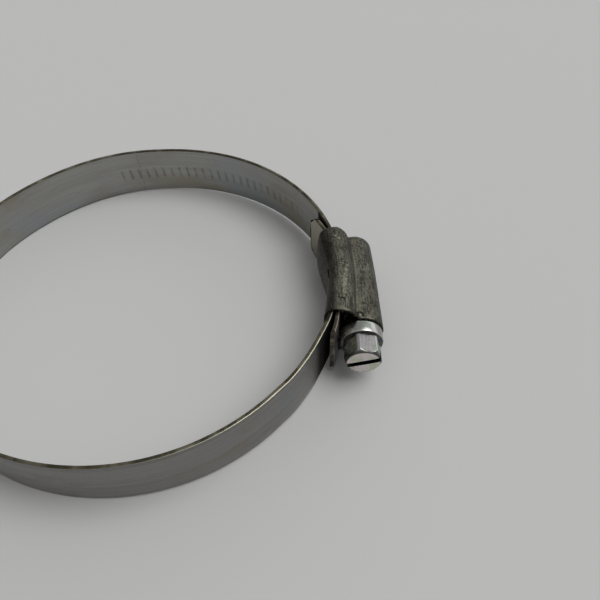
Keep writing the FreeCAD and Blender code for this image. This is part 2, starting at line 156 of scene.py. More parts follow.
def steel_strip(name, at, s_from, s_to, step, heights, press=None, round_from=0.0):
    """A closed length of strip; at(s) gives place, way out and counted length along its middle line."""
    section = strip_section(heights)
    mesh = bmesh.new()
    plan = mesh.loops.layers.uv.new("strip")
    rings = []
    for s in even(s_from, s_to, max(2, round((s_to - s_from) / step))):
        ring = []
        for out, z in section:
            here = corner_cut(s, s_from, round_from, z)
            (x, y), (nx, ny), counted = at(here)
            if press and abs(abs(out) - THICK / 2) < 1e-6:
                out -= press(here, z, math.copysign(1.0, out))
            vert = mesh.verts.new((MM * (x + nx * out), MM * (y + ny * out), MM * z))
            ring.append((vert, (counted * MM, z * MM)))
        rings.append(ring)
    sides, ends = join_rings(mesh, rings, [plan])
    outside, edge, inside = 0, 1, 2
    for i, face in sides:
        (out, z), (next_out, next_z) = section[i], section[(i + 1) % len(section)]
        facing_out = out + next_out > 0
        rounding = EDGE_ROUND / 5 if facing_out else EDGE_ROUND / 2
        if abs(z - next_z) < rounding:
            face.material_index = edge
        else:
            face.material_index = outside if facing_out else inside
    for end in ends:
        end.smooth = False
        end.material_index = edge
        for side in end.edges:
            side.smooth = False
    return placed(name, mesh)


def graph(tree):
    """Short ways to add nodes to a material or a group: sums, stretched ranges, noise and mixed colours."""

    def node(kind, **settings):
        made = tree.nodes.new("ShaderNode" + kind)
        for key, value in settings.items():
            setattr(made, key, value)
        return made

    def feed(slot, value):
        if hasattr(value, "links"):
            tree.links.new(value, slot)
        else:
            slot.default_value = value

    def maths(kind, *values):
        made = node("Math", operation=kind)
        for slot, value in zip(made.inputs, values):
            feed(slot, value)
        return made.outputs[0]

    def times(first, *others):
        for other in others:
            first = maths("MULTIPLY", first, other)
        return first

    def apart(first, second):
        return maths("ABSOLUTE", maths("SUBTRACT", first, second))

    def spread(value, low, high, to_low=0.0, to_high=1.0):
        made = node("MapRange", interpolation_type="SMOOTHSTEP")
        for slot, part in zip(made.inputs, (value, low, high, to_low, to_high)):
            feed(slot, part)
        return made.outputs[0]

    def noise(place, stretch, detail=3.0, rough=0.55):
        mapping = node("Mapping")
        feed(mapping.inputs["Vector"], place)
        mapping.inputs["Scale"].default_value = stretch
        made = node("TexNoise")
        feed(made.inputs["Vector"], mapping.outputs[0])
        made.inputs["Scale"].default_value = 1.0
        made.inputs["Detail"].default_value = detail
        made.inputs["Roughness"].default_value = rough
        return made.outputs["Fac"]

    def blend(amount, first, second):
        made = node("Mix", data_type="RGBA")
        feed(made.inputs["Factor"], amount)
        for slot, value in (("A", first), ("B", second)):
            feed(made.inputs[slot], (*value, 1) if isinstance(value, tuple) else value)
        return made.outputs["Result"]

    def parts(vector):
        split = node("SeparateXYZ")
        feed(split.inputs[0], vector)
        return split.outputs

    def grouped(group, **values):
        made = node("Group", node_tree=group)
        for title, value in values.items():
            made.inputs[title.replace("_", " ")].default_value = value
        return made.outputs

    return node, feed, maths, times, apart, spread, noise, blend, parts, grouped


def effect(name, inputs, outputs):
    """An empty node group with float inputs and outputs; gives the group and its two ends."""
    group = bpy.data.node_groups.new(name, "ShaderNodeTree")
    for title in inputs:
        group.interface.new_socket(name=title, in_out="INPUT", socket_type="NodeSocketFloat")
    for title in outputs:
        group.interface.new_socket(name=title, in_out="OUTPUT", socket_type="NodeSocketFloat")
    return group, group.nodes.new("NodeGroupInput").outputs, group.nodes.new("NodeGroupOutput").inputs


def metal(name):
    """An empty metal: its material, its shader and the ways to add nodes."""
    material = bpy.data.materials.new(name)
    material.use_nodes = True
    shader = material.node_tree.nodes["Principled BSDF"]
    shader.inputs["Metallic"].default_value = 1.0
    return material, shader, graph(material.node_tree)


def bumped(node, feed, shader, height, strength, distance):
    bump = node("Bump")
    bump.inputs["Strength"].default_value = strength
    bump.inputs["Distance"].default_value = distance * MM
    feed(bump.inputs["Height"], height)
    feed(shader.inputs["Normal"], bump.outputs[0])


ROLL_LINE = 5.35
ROLL_LINE_EDGE = 5.75


def rolled_strip():
    """Rolling streaks, soft stains, dark specks, and the lines that the rolls leave near the edges."""
    group, entry, leave = effect(
        "rolled_strip", ["Stain size"], ["Streaks", "Stains", "Blueing", "Specks", "Lines"])
    node, feed, maths, times, apart, spread, noise, _, parts, _ = graph(group)
    plan = node("UVMap", uv_map="strip").outputs[0]
    fine = noise(plan, (45, 3200, 1), 4.0)
    broad = noise(plan, (16, 700, 1), 2.0)
    grit = maths("SUBTRACT", noise(plan, (2300, 2600, 1), 3.0, 0.6), 0.5)
    streaks = maths("ADD", times(fine, 0.55), times(broad, 0.45))
    feed(leave["Streaks"], maths("ADD", streaks, times(grit, 0.4)))
    scaled = node("VectorMath", operation="SCALE")
    feed(scaled.inputs[0], plan)
    feed(scaled.inputs["Scale"], entry["Stain size"])
    feed(leave["Stains"], spread(noise(scaled.outputs[0], (70, 150, 1), 5.0, 0.6), 0.46, 0.68))
    feed(leave["Blueing"], spread(noise(scaled.outputs[0], (48, 90, 1), 3.0), 0.5, 0.66))
    speck = spread(noise(plan, (900, 1500, 1), 2.0), 0.68, 0.76)
    feed(leave["Specks"], times(speck, spread(noise(plan, (120, 200, 1), 1.0), 0.5, 0.6)))
    height = maths("ABSOLUTE", parts(plan)["Y"])
    wandering = maths("ADD", height, times(noise(plan, (60, 1, 1), 2.0), 0.00025))
    line = spread(apart(wandering, ROLL_LINE * MM), 0.00004, 0.00014, 0.7, 0.0)
    edge_line = spread(apart(height, ROLL_LINE_EDGE * MM), 0.00005, 0.00012, 1.0, 0.0)
    feed(leave["Lines"], maths("MAXIMUM", line, edge_line))
    return group


PITCH = 2.13
MESH_R = 42.225
WORM_R = 3.4
GROOVE_PITCH = BAND_R * PITCH / MESH_R
LEAN = math.tan(math.atan(PITCH / (2 * math.pi * WORM_R)))
PRINT_FROM = -9.5
PRINT_TO = 37.5


def thread_print():
    """Where the screw's thread is pressed across the strip: 1 in the marks, soft at their rims."""
    group, entry, leave = effect(
        "thread_print", ["Pitch", "Lean", "Middle", "Half length", "Half width"], ["Mark"])
    node, feed, maths, times, apart, spread, noise, _, parts, _ = graph(group)
    plan = node("UVMap", uv_map="strip").outputs[0]
    along, height, _ = parts(plan)
    turns = maths("DIVIDE", maths("SUBTRACT", along, times(height, entry["Lean"])), entry["Pitch"])
    off = times(apart(turns, maths("ROUND", turns)), entry["Pitch"])
    width = spread(maths("SUBTRACT", off, entry["Half width"]), -0.00028, 0.00034, 1.0, 0.0)
    reach = maths("SUBTRACT", apart(height, entry["Middle"]), entry["Half length"])
    length = spread(reach, -0.0004, 0.0002, 1.0, 0.0)
    inside = times(spread(turns, PRINT_TO - 0.1, PRINT_TO + 0.1, 1.0, 0.0),
                   spread(turns, PRINT_FROM - 0.1, PRINT_FROM + 0.1))
    uneven = spread(noise(plan, (300, 500, 1), 2.0), 0.3, 0.6, 0.3, 1.0)
    feed(leave["Mark"], times(width, length, inside, uneven))
    return group


ROLLED = rolled_strip()
PRINTED = thread_print()
# Stretches of the strip, counted as the thread is, and then of its height.
PRINT_DARKENS = (22.0, 36.0)
TONGUE_FILM_GROWS = (258.0, 267.0)
EDGE_HIGHLIGHT_GROWS = (202.0, 228.0)
HIGHLIT_ROUNDING = (5.82, 5.88)
FLAT_FACE_ENDS = (5.7, 5.85)


def strip_steel(name, plain, dark, stain, blue, roughness, stain_size, thread, thread_by_housing,
                thread_middle, thread_length, thread_width, roll_lines, gap_shade):
    """Satin rolled steel: streaks, stains, thread print, browned tongue; painted shade and a painted edge
    highlight.
    """
    material, shader, ways = metal(name)
    node, feed, maths, times, apart, spread, noise, blend, parts, grouped = ways
    rolled = grouped(ROLLED, Stain_size=stain_size)
    streaks = rolled["Streaks"]
    printed = grouped(
        PRINTED, Pitch=GROOVE_PITCH * MM, Lean=LEAN, Middle=thread_middle * MM,
        Half_length=thread_length * MM, Half_width=thread_width * MM)["Mark"]
    along, height, _ = parts(node("UVMap", uv_map="strip").outputs[0])
    height = maths("ABSOLUTE", height)

    def between(value, ends, to_low=0.0, to_high=1.0):
        return spread(value, ends[0] * MM, ends[1] * MM, to_low, to_high)

    colour = blend(spread(streaks, 0.3, 0.7), dark, plain)
    colour = blend(times(rolled["Blueing"], 0.5), colour, blue)
    colour = blend(times(rolled["Stains"], 0.8), colour, stain)
    strength = between(along, PRINT_DARKENS, thread_by_housing, thread)
    colour = blend(times(printed, strength), colour, (0.05, 0.05, 0.045))
    colour = blend(times(rolled["Lines"], roll_lines), colour, (0.07, 0.066, 0.055))
    colour = blend(times(rolled["Specks"], 0.7), colour, (0.05, 0.045, 0.035))
    browned = times(between(along, TONGUE_FILM_GROWS), spread(streaks, 0.35, 0.6, 0.9, 0.5))
    colour = blend(browned, colour, (0.33, 0.30, 0.22))
    # Painted highlight: a bright line along the outer edge rounding on the ring's near side, where the lamp is
    # reflected.
    rubbed_and_highlight = times(between(height, HIGHLIT_ROUNDING, 0.0, 0.95), spread(streaks, 0.3, 0.55, 0.3, 1.0),
                   between(along, EDGE_HIGHLIGHT_GROWS, 0.12, 1.0))
    colour = blend(rubbed_and_highlight, colour, (0.62, 0.60, 0.49))
    # Painted shade: the faces are darkened in the gaps by the housing, where shade falls.
    painted_gap_shade = times(between(along, gap_shade), between(height, FLAT_FACE_ENDS, 1.0, 0.0))
    colour = blend(times(painted_gap_shade, 0.95), colour, (0.012, 0.011, 0.009))
    feed(shader.inputs["Base Color"], colour)
    satin = spread(streaks, 0.3, 0.7, roughness + 0.07, roughness - 0.05)
    satin = maths("ADD", satin, times(rolled["Stains"], 0.12))
    feed(shader.inputs["Roughness"], maths("ADD", satin, times(painted_gap_shade, 0.5)))
    bumped(node, feed, shader, maths("SUBTRACT", streaks, times(rolled["Specks"], 1.5)), 0.35, 0.03)
    return material


OUTER_SLIT_SHADED = ((-13.1, -12.4), (0.0, 4.0))
INNER_SLIT_SHADED = ((251.7, 252.4), (268.0, 272.0))


def slit_edge():
    """The strip's slit edge: dull, olive, with brighter rubbed places and painted shade in the housing's
    mouths.
    """
    material, shader, ways = metal("band_slit_edge")
    node, feed, maths, times, apart, spread, noise, blend, parts, _ = ways
    plan = node("UVMap", uv_map="strip").outputs[0]
    rubbed_and_highlight = noise(plan, (260, 900, 1), 4.0, 0.65)
    grit = noise(node("TexCoord").outputs["Object"], (5200, 5200, 5200), 3.0, 0.6)
    colour = blend(spread(rubbed_and_highlight, 0.42, 0.68), (0.055, 0.05, 0.032), (0.18, 0.167, 0.124))
    colour = blend(spread(grit, 0.5, 0.75, 0.0, 0.5), colour, (0.05, 0.045, 0.03))
    along = parts(plan)["X"]
    # Painted shade on the slit edges inside the housing's mouths.
    mouth_shade = []
    for begin, end in (OUTER_SLIT_SHADED, INNER_SLIT_SHADED):
        mouth_shade.append(times(spread(along, begin[0] * MM, begin[1] * MM),
                           spread(along, end[0] * MM, end[1] * MM, 1.0, 0.0)))
    feed(shader.inputs["Base Color"], blend(times(maths("ADD", *mouth_shade), 0.85), colour, (0.02, 0.019, 0.015)))
    feed(shader.inputs["Roughness"], spread(rubbed_and_highlight, 0.4, 0.7, 0.52, 0.36))
    bumped(node, feed, shader, grit, 0.4, 0.05)
    return material


# The outside's colours are darker than the inside's, partly as painted shade for the soft shade over the
# ring's near side.
BAND_OUTSIDE = strip_steel(
    "band_outside", plain=(0.272, 0.267, 0.26), dark=(0.221, 0.217, 0.21), stain=(0.262, 0.224, 0.182),
    blue=(0.205, 0.224, 0.25), roughness=0.33, stain_size=1.0, thread=0.6, thread_by_housing=0.6,
    thread_middle=0.0, thread_length=1.7, thread_width=0.45, roll_lines=0.65, gap_shade=(243.5, 248.0))
BAND_INSIDE = strip_steel(
    "band_inside", plain=(0.38, 0.38, 0.365), dark=(0.315, 0.315, 0.30), stain=(0.325, 0.30, 0.245),
    blue=(0.30, 0.33, 0.36), roughness=0.36, stain_size=0.7, thread=0.5, thread_by_housing=0.12,
    thread_middle=-0.6, thread_length=1.6, thread_width=0.2, roll_lines=0.15, gap_shade=(18.6, 17.6))
SLIT_EDGE = slit_edge()


def band_finish(piece):
    for material in (BAND_OUTSIDE, SLIT_EDGE, BAND_INSIDE):
        piece.data.materials.append(material)


FIXED_LENGTH = FIXED_R * math.radians(TONGUE_END - RING_FROM)
PLAIN_HEIGHTS = even(-WIDTH / 2 + EDGE_ROUND, WIDTH / 2 - EDGE_ROUND, 10)


def fixed_plan(s):
    """From the tongue's tip, which leans in, through the housing and down to the ring."""
    azimuth = TONGUE_END - math.degrees(s / FIXED_R)
    along = FIXED_R * math.radians(azimuth - LEAN_FROM)
    leaning = LEAN_SLOPE * (along + math.hypot(along, LEAN_EASE)) / 2
    dip = float(LEAVING_DIP * eased(azimuth, DIP_FROM, DIP_TO))
    counted = ring_length(RING_FROM) + FIXED_LENGTH - s
    return polar(FIXED_R - leaning - dip, azimuth), polar(1.0, azimuth), counted


band_fixed = steel_strip(
    "band_fixed_strip", fixed_plan, 0.0, FIXED_LENGTH, STRIP_STEP, PLAIN_HEIGHTS, round_from=TONGUE_CORNER)
band_finish(band_fixed)
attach(band_fixed, "housing")
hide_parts("band_fixed_end")

# The ring: the same strip, from the near side round to the far side. The real one is one length that simply
# bends as the clamp closes; here it is made in lengths, one in place of each of the CAD's links.
LINK_SPAN = 29.0
LINKS = 8
LINKS_FROM = -30.0
RING_TO = -262.0
SEAM = 0.05
BOW_OUT = 0.34
BOW_OUT_GROWS = (250.0, 300.0)
BOW_AT_FIXED_END = FIXED_R - BAND_R - LEAVING_DIP
BOW_MEETS_FIXED_END = (317.0, 322.75)
BOW_IN = 0.8
BOW_IN_GROWS = (98.0, 140.0)
BOW_IN_ENDS = (185.0, 245.0)


def bow(azimuth):
    """How far the sprung ring stands off a true circle: out beside the screw, in across from it.

    Beside the screw it leaves room for the threaded end, which passes over it as the clamp closes.
    """
    near = BOW_OUT * eased(azimuth, *BOW_OUT_GROWS)
    near = near + (BOW_AT_FIXED_END - BOW_OUT) * eased(azimuth, *BOW_MEETS_FIXED_END)
    far = BOW_IN * eased(azimuth, *BOW_IN_GROWS) * (1 - eased(azimuth, *BOW_IN_ENDS))
    return float(near - far)


def ring_plan(s):
    azimuth = 90.0 + math.degrees((s - FAR_SIDE) / BAND_R)
    return polar(BAND_R + bow(azimuth), azimuth), polar(1.0, azimuth), s


FIRST_GROOVE = -9
LAST_GROOVE = 36
# A groove's half width and wall, middle height, half length and end, and depth.
GROOVE_OUTSIDE = (0.57, 0.2, 0.0, 1.75, 0.35, 0.43)
GROOVE_INSIDE = (0.45, 0.4, -0.8, 1.5, 0.5, 0.035)
THREAD_HEIGHTS = even(-5.8, -3.2, 3) + even(-2.6, 2.2, 24) + even(2.9, 5.8, 3)


def pressed_thread(s, z, side):
    """Depth of the worm's trapezoid grooves outside, and of the faint print that they leave inside."""
    across = s - z * LEAN
    index = round(across / GROOVE_PITCH)
    if not FIRST_GROOVE <= index <= LAST_GROOVE:
        return 0.0
    half, wall, middle, reach, end, deep = GROOVE_OUTSIDE if side > 0 else GROOVE_INSIDE
    walls = eased(half - abs(across - index * GROOVE_PITCH), 0, wall)
    return float(deep * walls * eased(reach - abs(z - middle), 0, end))


joins = [RING_FROM] + [LINKS_FROM - (i + 1) * LINK_SPAN for i in range(LINKS - 1)] + [RING_TO]
for index in range(LINKS):
    last = index == LINKS - 1
    length = steel_strip(
        "band_ring_%d" % (index + 1), ring_plan,
        ring_length(joins[index + 1]) + (SEAM if last else 0.0), ring_length(joins[index]),
        THREAD_STEP if last else STRIP_STEP, THREAD_HEIGHTS if last else PLAIN_HEIGHTS,
        press=pressed_thread if last else None)
    band_finish(length)
    begin = polar(BAND_R * MM, joins[index])
    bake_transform(length)
    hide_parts("band_link_%d" % (index + 1))

# The threaded end: the screw's thread is pressed across its outer face. It runs through the housing
# over the fixed layer, and its short tail stands free beside the screw's head.
TAIL_FROM = 6.0
TAIL_END = -17.0
TAIL_CORNER = 0.8
TAIL_BEND_FROM = -12.3
TAIL_BEND = 0.022


def threaded_plan(s):
    """A straight tail, an arc past the screw, a short straight, and the ring."""
    if s >= FAR_SIDE:
        return ring_plan(s)
    if s > BAND_R * math.pi / 2:
        return (FAR_SIDE - s, BAND_R), (0.0, 1.0), s
    arc = max(s, -BAND_R * math.asin(TAIL_FROM / BAND_R))
    nx, ny = polar(1.0, math.degrees(arc / BAND_R))
    straight = s - arc
    out = BAND_R - TAIL_BEND * max(0.0, TAIL_BEND_FROM - s) ** 2
    return (FEED_CENTRE + out * nx - straight * ny, out * ny + straight * nx), (nx, ny), s


threaded = steel_strip(
    "band_threaded_strip", threaded_plan, TAIL_END, ring_length(RING_TO), THREAD_STEP, THREAD_HEIGHTS,
    press=pressed_thread, round_from=TAIL_CORNER)
band_finish(threaded)
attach(threaded, "threaded_end")
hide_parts("band_threaded_end")

# The housing: one steel sheet, pressed and wrapped round both layers of the band. It closes under a
# bellied saddle, forms the screw's tube on top, and is locked by squares punched into the band's
# edges. The sheet is dull, mottled by the press and scratched along its length.
SHEET = 0.6
SIDE = 6.85
HOUSING_NEAR = -11.6
HOUSING_FAR = 12.2
HOUSING_MIDDLE = -0.5
SCREW_X = 47.2
TUBE_R = 4.3
TUBE_TAPER = 0.02
TUBE_DRAWN_IN = 0.25
TUBE_NEAR = -12.15
CREASE_X = 46.4
CREASE_UP = 4.1
CREASE_BOW = 0.45
CREASE_SINK = 0.1
HALF_LENGTH = 11.5
SHOULDER_LEAN = math.radians(20.0)
SHOULDER_R = 2.5
SADDLE_R = 1.7
SADDLE_R_MOUTH = 0.7
SADDLE_R_GROWS = (-5.0, HOUSING_NEAR)
WRAP_END_R = 1.2
WRAP_END_LEAN = 0.3
WRAP_END_LEANS_UNDER = 43.5
TUBE_END_R = 1.8
TUBE_ROOT_R = 0.3
BELLY_MOUTH = 0.15
BELLY_NEAR = 0.55
BELLY_NEAR_GROWS = (HOUSING_NEAR, -7.0)
BELLY_FAR = 1.0
BELLY_FAR_GROWS = (-1.5, 4.6)
BELLY_FAR_ENDS = (6.4, 11.6)
FAR_DRAWN_IN = 0.5
FAR_DRAWN_FROM = 2.0
CORE_X = 44.5
LOCK_X, LOCK_Y, LOCK_HALF, LOCK_REACH = 43.16, -9.85, 1.0, 1.35
LOCK_DEEP = 0.22
LOCK_RISE = 0.05
FOLD_X, FOLD_Y, FOLD_REACH = 41.1, -0.6, 1.5
FOLD_DEEP = 0.4
AROUND = 264


def meet_round(a, b, radius):
    """Distance to where two surfaces meet from inside, with a rounded corner."""
    reach = np.hypot(np.maximum(a + radius, 0), np.maximum(b + radius, 0))
    return np.minimum(-radius, np.maximum(a, b)) + reach


def join_round(a, b, radius):
    """Distance to two joined bodies with a filled corner."""
    reach = np.hypot(np.maximum(radius - a, 0), np.maximum(radius - b, 0))
    return np.maximum(radius, np.minimum(a, b)) - reach


def sheet_skin(x, y, z):
    """Signed distance to the outside of the pressed sheet."""
    high = np.abs(z)
    far_end = eased(y, FAR_DRAWN_FROM, HOUSING_FAR)
    belly = BELLY_MOUTH + BELLY_NEAR * eased(y, *BELLY_NEAR_GROWS)
    belly = belly + BELLY_FAR * eased(y, *BELLY_FAR_GROWS) - BELLY_FAR * eased(y, *BELLY_FAR_ENDS)
    belly = belly * (1 - (np.minimum(high, SIDE) / SIDE) ** 2)
    wrap_x = x + FAR_DRAWN_IN * far_end
    saddle = np.sqrt(SEAT_R ** 2 - np.minimum(y, HOUSING_FAR) ** 2) - belly - wrap_x
    wrap = meet_round(high - SIDE, saddle, SADDLE_R + SADDLE_R_MOUTH * eased(y, *SADDLE_R_GROWS))
    crease = CREASE_X + CREASE_BOW * (1 - ((y - HOUSING_MIDDLE) / HALF_LENGTH) ** 2) - CREASE_SINK
    shoulder = (wrap_x - crease) * math.cos(SHOULDER_LEAN) + (high - CREASE_UP) * math.sin(SHOULDER_LEAN)
    wrap = meet_round(wrap, shoulder, SHOULDER_R)
    end = y - HOUSING_FAR + WRAP_END_LEAN * np.maximum(0, WRAP_END_LEANS_UNDER - x)
    wrap = meet_round(wrap, end, WRAP_END_R)
    tube = np.hypot(x - SCREW_X, z) - (TUBE_R - TUBE_TAPER * y - TUBE_DRAWN_IN * far_end)
    tube = meet_round(tube, y - HOUSING_FAR, TUBE_END_R)
    return join_round(wrap, tube, TUBE_ROOT_R)


def skin_radius(turn, y, depth):
    """How far the sheet's skin lies from the core line, along each direction round it."""
    low = np.zeros_like(y) + 0.05
    high = np.zeros_like(y) + 12.0
    for _ in range(34):
        middle = (low + high) / 2
        outside = sheet_skin(CORE_X + middle * np.cos(turn), y, middle * np.sin(turn)) > -depth
        high = np.where(outside, middle, high)
        low = np.where(outside, low, middle)
    return (low + high) / 2


def round_the_core(count):
    """Directions round the core line, evenly spread over the skin and closer at its creases."""
    turn = np.linspace(0, 2 * math.pi, 2881)[:-1]
    radius = skin_radius(turn, np.zeros_like(turn), 0.0)
    x = radius * np.cos(turn)
    z = radius * np.sin(turn)
    step = np.hypot(np.diff(x, append=x[0]), np.diff(z, append=z[0]))
    heading = np.unwrap(np.arctan2(np.diff(z, append=z[0]), np.diff(x, append=x[0])))
    bend = np.abs(np.diff(heading, append=heading[0] + 2 * math.pi))
    walk = np.concatenate(([0.0], np.cumsum(step + 0.9 * np.minimum(bend, 0.2))))
    return np.interp(np.linspace(0, walk[-1], count + 1)[:-1], walk, np.append(turn, 2 * math.pi))


turns = round_the_core(AROUND)
from_top = np.degrees(np.minimum(turns, 2 * math.pi - turns))
rim = HOUSING_NEAR + (TUBE_NEAR - HOUSING_NEAR) * (1 - eased(from_top, 62.0, 66.0))
rim = rim - 0.1 * eased(from_top, 150.0, 180.0)


def punched(x, y, z):
    """How far the outside is pressed in at the locks and at the folds of the side walls."""
    on_edge = np.abs(z) > 5.5
    across = (x - LOCK_X) / LOCK_HALF
    along = (y - LOCK_Y) / LOCK_REACH
    side = np.maximum(np.abs(x - LOCK_X) - LOCK_HALF, np.abs(y - LOCK_Y) - LOCK_REACH)
    lock = (LOCK_DEEP + 0.16 * along + 0.12 * across) * (1 - eased(side, -0.16, 0.02)) * on_edge
    rise = LOCK_RISE * (eased(side, -0.05, 0.1) - eased(side, 0.1, 0.5)) * on_edge
    fold = FOLD_DEEP * (1 - eased(np.abs(x - FOLD_X + 0.03 * (y - FOLD_Y)), 0.05, 0.22))
    fold = fold * (1 - eased(np.abs(y - FOLD_Y), FOLD_REACH - 0.5, FOLD_REACH)) * (np.abs(z) > 4.5)
    return lock - rise + fold


def skin_row(y, depth, pull=0.0):
    radius = skin_radius(turns, y, depth) - pull
    return CORE_X + radius * np.cos(turns), y, radius * np.sin(turns)


def skin_rows(side, along, end_steps):
    """Rows of the sheet from its rolled near rim, along it, and over its rounded far end."""
    depth = 0.0 if side > 0 else SHEET
    straight_to = HOUSING_FAR - TUBE_END_R - 0.2
    for offset, pull in ((0.0, 0.15), (0.05, 0.045), (0.16, 0.0)):
        yield "rim", skin_row(rim + offset, depth, side * pull)
    for part in along:
        yield "skin", skin_row(rim + 0.16 + (straight_to - rim - 0.16) * part, depth)
    for a in np.linspace(0, math.pi / 2, end_steps)[1:]:
        level = straight_to + (HOUSING_FAR - depth - straight_to) * math.sin(a) - 0.002
        yield "skin", skin_row(np.zeros(AROUND) + level, depth)


mesh = bmesh.new()
plans = [mesh.loops.layers.uv.new("sheet"), mesh.loops.layers.uv.new("wear")]
skins = []
for side, along, end_steps in ((1.0, np.linspace(0.1, 1.0, 150) ** 1.25, 15),
                               (-1.0, np.linspace(0.03, 1.0, 40), 6)):
    skin = []
    for kind, (x, y, z) in skin_rows(side, along, end_steps):
        if side > 0 and kind == "skin":
            press = punched(x, y, z)
            away = np.hypot(x - CORE_X, z)
            x = x - press * (x - CORE_X) / away
            z = z - press * z / away
        walked = np.concatenate(([0.0], np.cumsum(np.hypot(np.diff(x), np.diff(z)))))
        skin.append([(mesh.verts.new((MM * x[i], MM * y[i], MM * z[i])), (MM * y[i], MM * walked[i]),
                      (MM * (y[i] - rim[i]), MM * (HOUSING_FAR - y[i]))) for i in range(AROUND)])
    skins.append(skin)
join_rings(mesh, skins[1][::-1] + skins[0], plans)
housing = placed("housing_sheet", mesh)


def box_tool(name, low, high):
    mesh = bmesh.new()
    bmesh.ops.create_cube(mesh, size=1.0)
    for vert in mesh.verts:
        for axis in range(3):
            vert.co[axis] = MM * (low[axis] if vert.co[axis] < 0 else high[axis])
    return placed(name, mesh)


def cut_away(piece, tool):
    """Cut a tool out of a piece, for good, and drop the tool."""
    cut = piece.modifiers.new("cut", "BOOLEAN")
    cut.operation = "DIFFERENCE"
    cut.solver = "EXACT"
    cut.object = tool
    shaped = bpy.data.meshes.new_from_object(piece.evaluated_get(bpy.context.evaluated_depsgraph_get()))
    piece.modifiers.clear()
    piece.data = shaped
    bpy.data.objects.remove(tool)


# The far mouth, where both layers of the band run out.
MOUTH_HALF = 6.2
mouth_low = math.sqrt(SEAT_R ** 2 - HOUSING_FAR ** 2) + SHEET + 0.08
mouth_high = FEED_CENTRE + math.sqrt((SEAT_R + THICK) ** 2 - (HOUSING_FAR - 1) ** 2) + 0.75
cut_away(housing, box_tool("mouth", (mouth_low, HOUSING_FAR - 3, -MOUTH_HALF),
                           (mouth_high, HOUSING_FAR + 3, MOUTH_HALF)))
housing.data.set_sharp_from_angle(angle=math.radians(45))
RETAINER_X, RETAINER_Y, RETAINER_UP, RETAINER_R = 46.8, -11.35, 4.34, 0.52
# Where the sheet is lighter: a painted highlight along the ridge over the saddle, the tube's rubbed crown, and
# a few bright spots (x, y, size).
RIDGE_X = 43.95
RIDGE_BEND = 0.0085
CROWN_X = 47.0
BRIGHT_SPOTS = ((42.75, -9.15, 0.26), (43.0, 8.5, 0.3), (43.75, 8.0, 0.3), (44.08, -11.5, 0.3))


def sheet_wear_and_light():
    """Mottling from the press, scratches, wear that shines at its rims, a painted ridge highlight, and painted
    shade.
    """
    group, entry, leave = effect(
        "sheet_wear_and_light", ["Rim width"], ["Mottle", "Scratches", "Rubbed and highlight", "Shade", "Grit"])
    node, feed, maths, times, apart, spread, noise, _, parts, _ = graph(group)
    place = node("TexCoord").outputs["Object"]
    plan = node("UVMap", uv_map="sheet").outputs[0]
    x, y, z = [times(part, 1000.0) for part in parts(place)]
    high = maths("ABSOLUTE", z)

    fine = noise(place, (2700, 1500, 2700), 4.0, 0.62)
    broad = noise(place, (420, 230, 420), 3.0)
    drawn = maths("SUBTRACT", noise(plan, (170, 3600, 1), 4.0, 0.6), 0.5)
    drawn = times(drawn, spread(x, 44.0, 46.0, 0.5, 0.1))
    mottle = maths("ADD", times(fine, 0.66), times(broad, 0.34))
    feed(leave["Mottle"], spread(maths("ADD", mottle, drawn), 0.42, 0.59))

    long_lines = noise(plan, (260, 3400, 1), 4.0, 0.6)
    cross_lines = noise(plan, (5200, 420, 1), 3.0, 0.6)
    along = times(spread(long_lines, 0.54, 0.68), spread(noise(place, (230, 120, 230), 2.0), 0.42, 0.6))
    across = times(spread(cross_lines, 0.5, 0.66), spread(noise(place, (150, 90, 150), 2.0), 0.5, 0.62))
    feed(leave["Scratches"], maths("MAXIMUM", along, times(across, 0.55)))

    ragged = times(noise(place, (1500, 1500, 1500), 3.0), entry["Rim width"])
    from_rim = parts(node("UVMap", uv_map="wear").outputs[0])["X"]
    rim_wear = spread(maths("DIVIDE", from_rim, maths("ADD", ragged, 0.00004)), 0.4, 1.2, 1.0, 0.0)
    rim_wear = times(rim_wear, spread(noise(place, (520, 520, 520), 2.0), 0.52, 0.68))
    # Painted highlight along the ridge over the saddle; the crown and the rims are real wear.
    bend = times(maths("POWER", maths("ABSOLUTE", maths("ADD", y, 11.0)), 2.0), RIDGE_BEND)
    ridge = times(spread(apart(x, maths("ADD", bend, RIDGE_X)), 0.1, 0.5, 1.0, 0.0),
                  spread(y, -0.5, 2.5, 1.0, 0.0), spread(fine, 0.4, 0.6, 0.15, 0.9))
    crown = times(spread(apart(x, CROWN_X), 0.15, 0.85, 1.0, 0.0),
                  spread(cross_lines, 0.42, 0.6, 0.05, 0.6))
    rubbed_and_highlight = maths("MAXIMUM", maths("MAXIMUM", ridge, crown), rim_wear)
    for spot_x, spot_y, size in BRIGHT_SPOTS:
        off = maths("MAXIMUM", apart(x, spot_x), apart(y, spot_y))
        rubbed_and_highlight = maths("MAXIMUM", rubbed_and_highlight, spread(off, size * 0.5, size, 1.0, 0.0))
    feed(leave["Rubbed and highlight"], times(rubbed_and_highlight, spread(high, 3.0, 3.6)))

    # Painted shade: a dark arc on the top and right of each retainer, and a darker sheet towards the saddle
    # side.
    off_x = maths("SUBTRACT", x, RETAINER_X)
    off_y = maths("SUBTRACT", y, RETAINER_Y)
    away = maths("SQRT", maths("ADD", times(off_x, off_x), times(off_y, off_y)))
    arc = times(spread(apart(away, RETAINER_R + 0.17), 0.14, 0.28, 1.0, 0.0),
                spread(maths("ADD", off_y, times(off_x, 0.6)), -0.25, 0.15))
    inner_side = times(spread(x, 41.4, 43.2, 0.6, 0.0), spread(high, 2.5, 5.0, 0.4, 1.0))
    feed(leave["Shade"], maths("MAXIMUM", times(arc, spread(high, 2.6, 3.0, 0.0, 0.95)), inner_side))
    feed(leave["Grit"], noise(place, (5200, 5200, 5200), 3.0, 0.6))
    return group


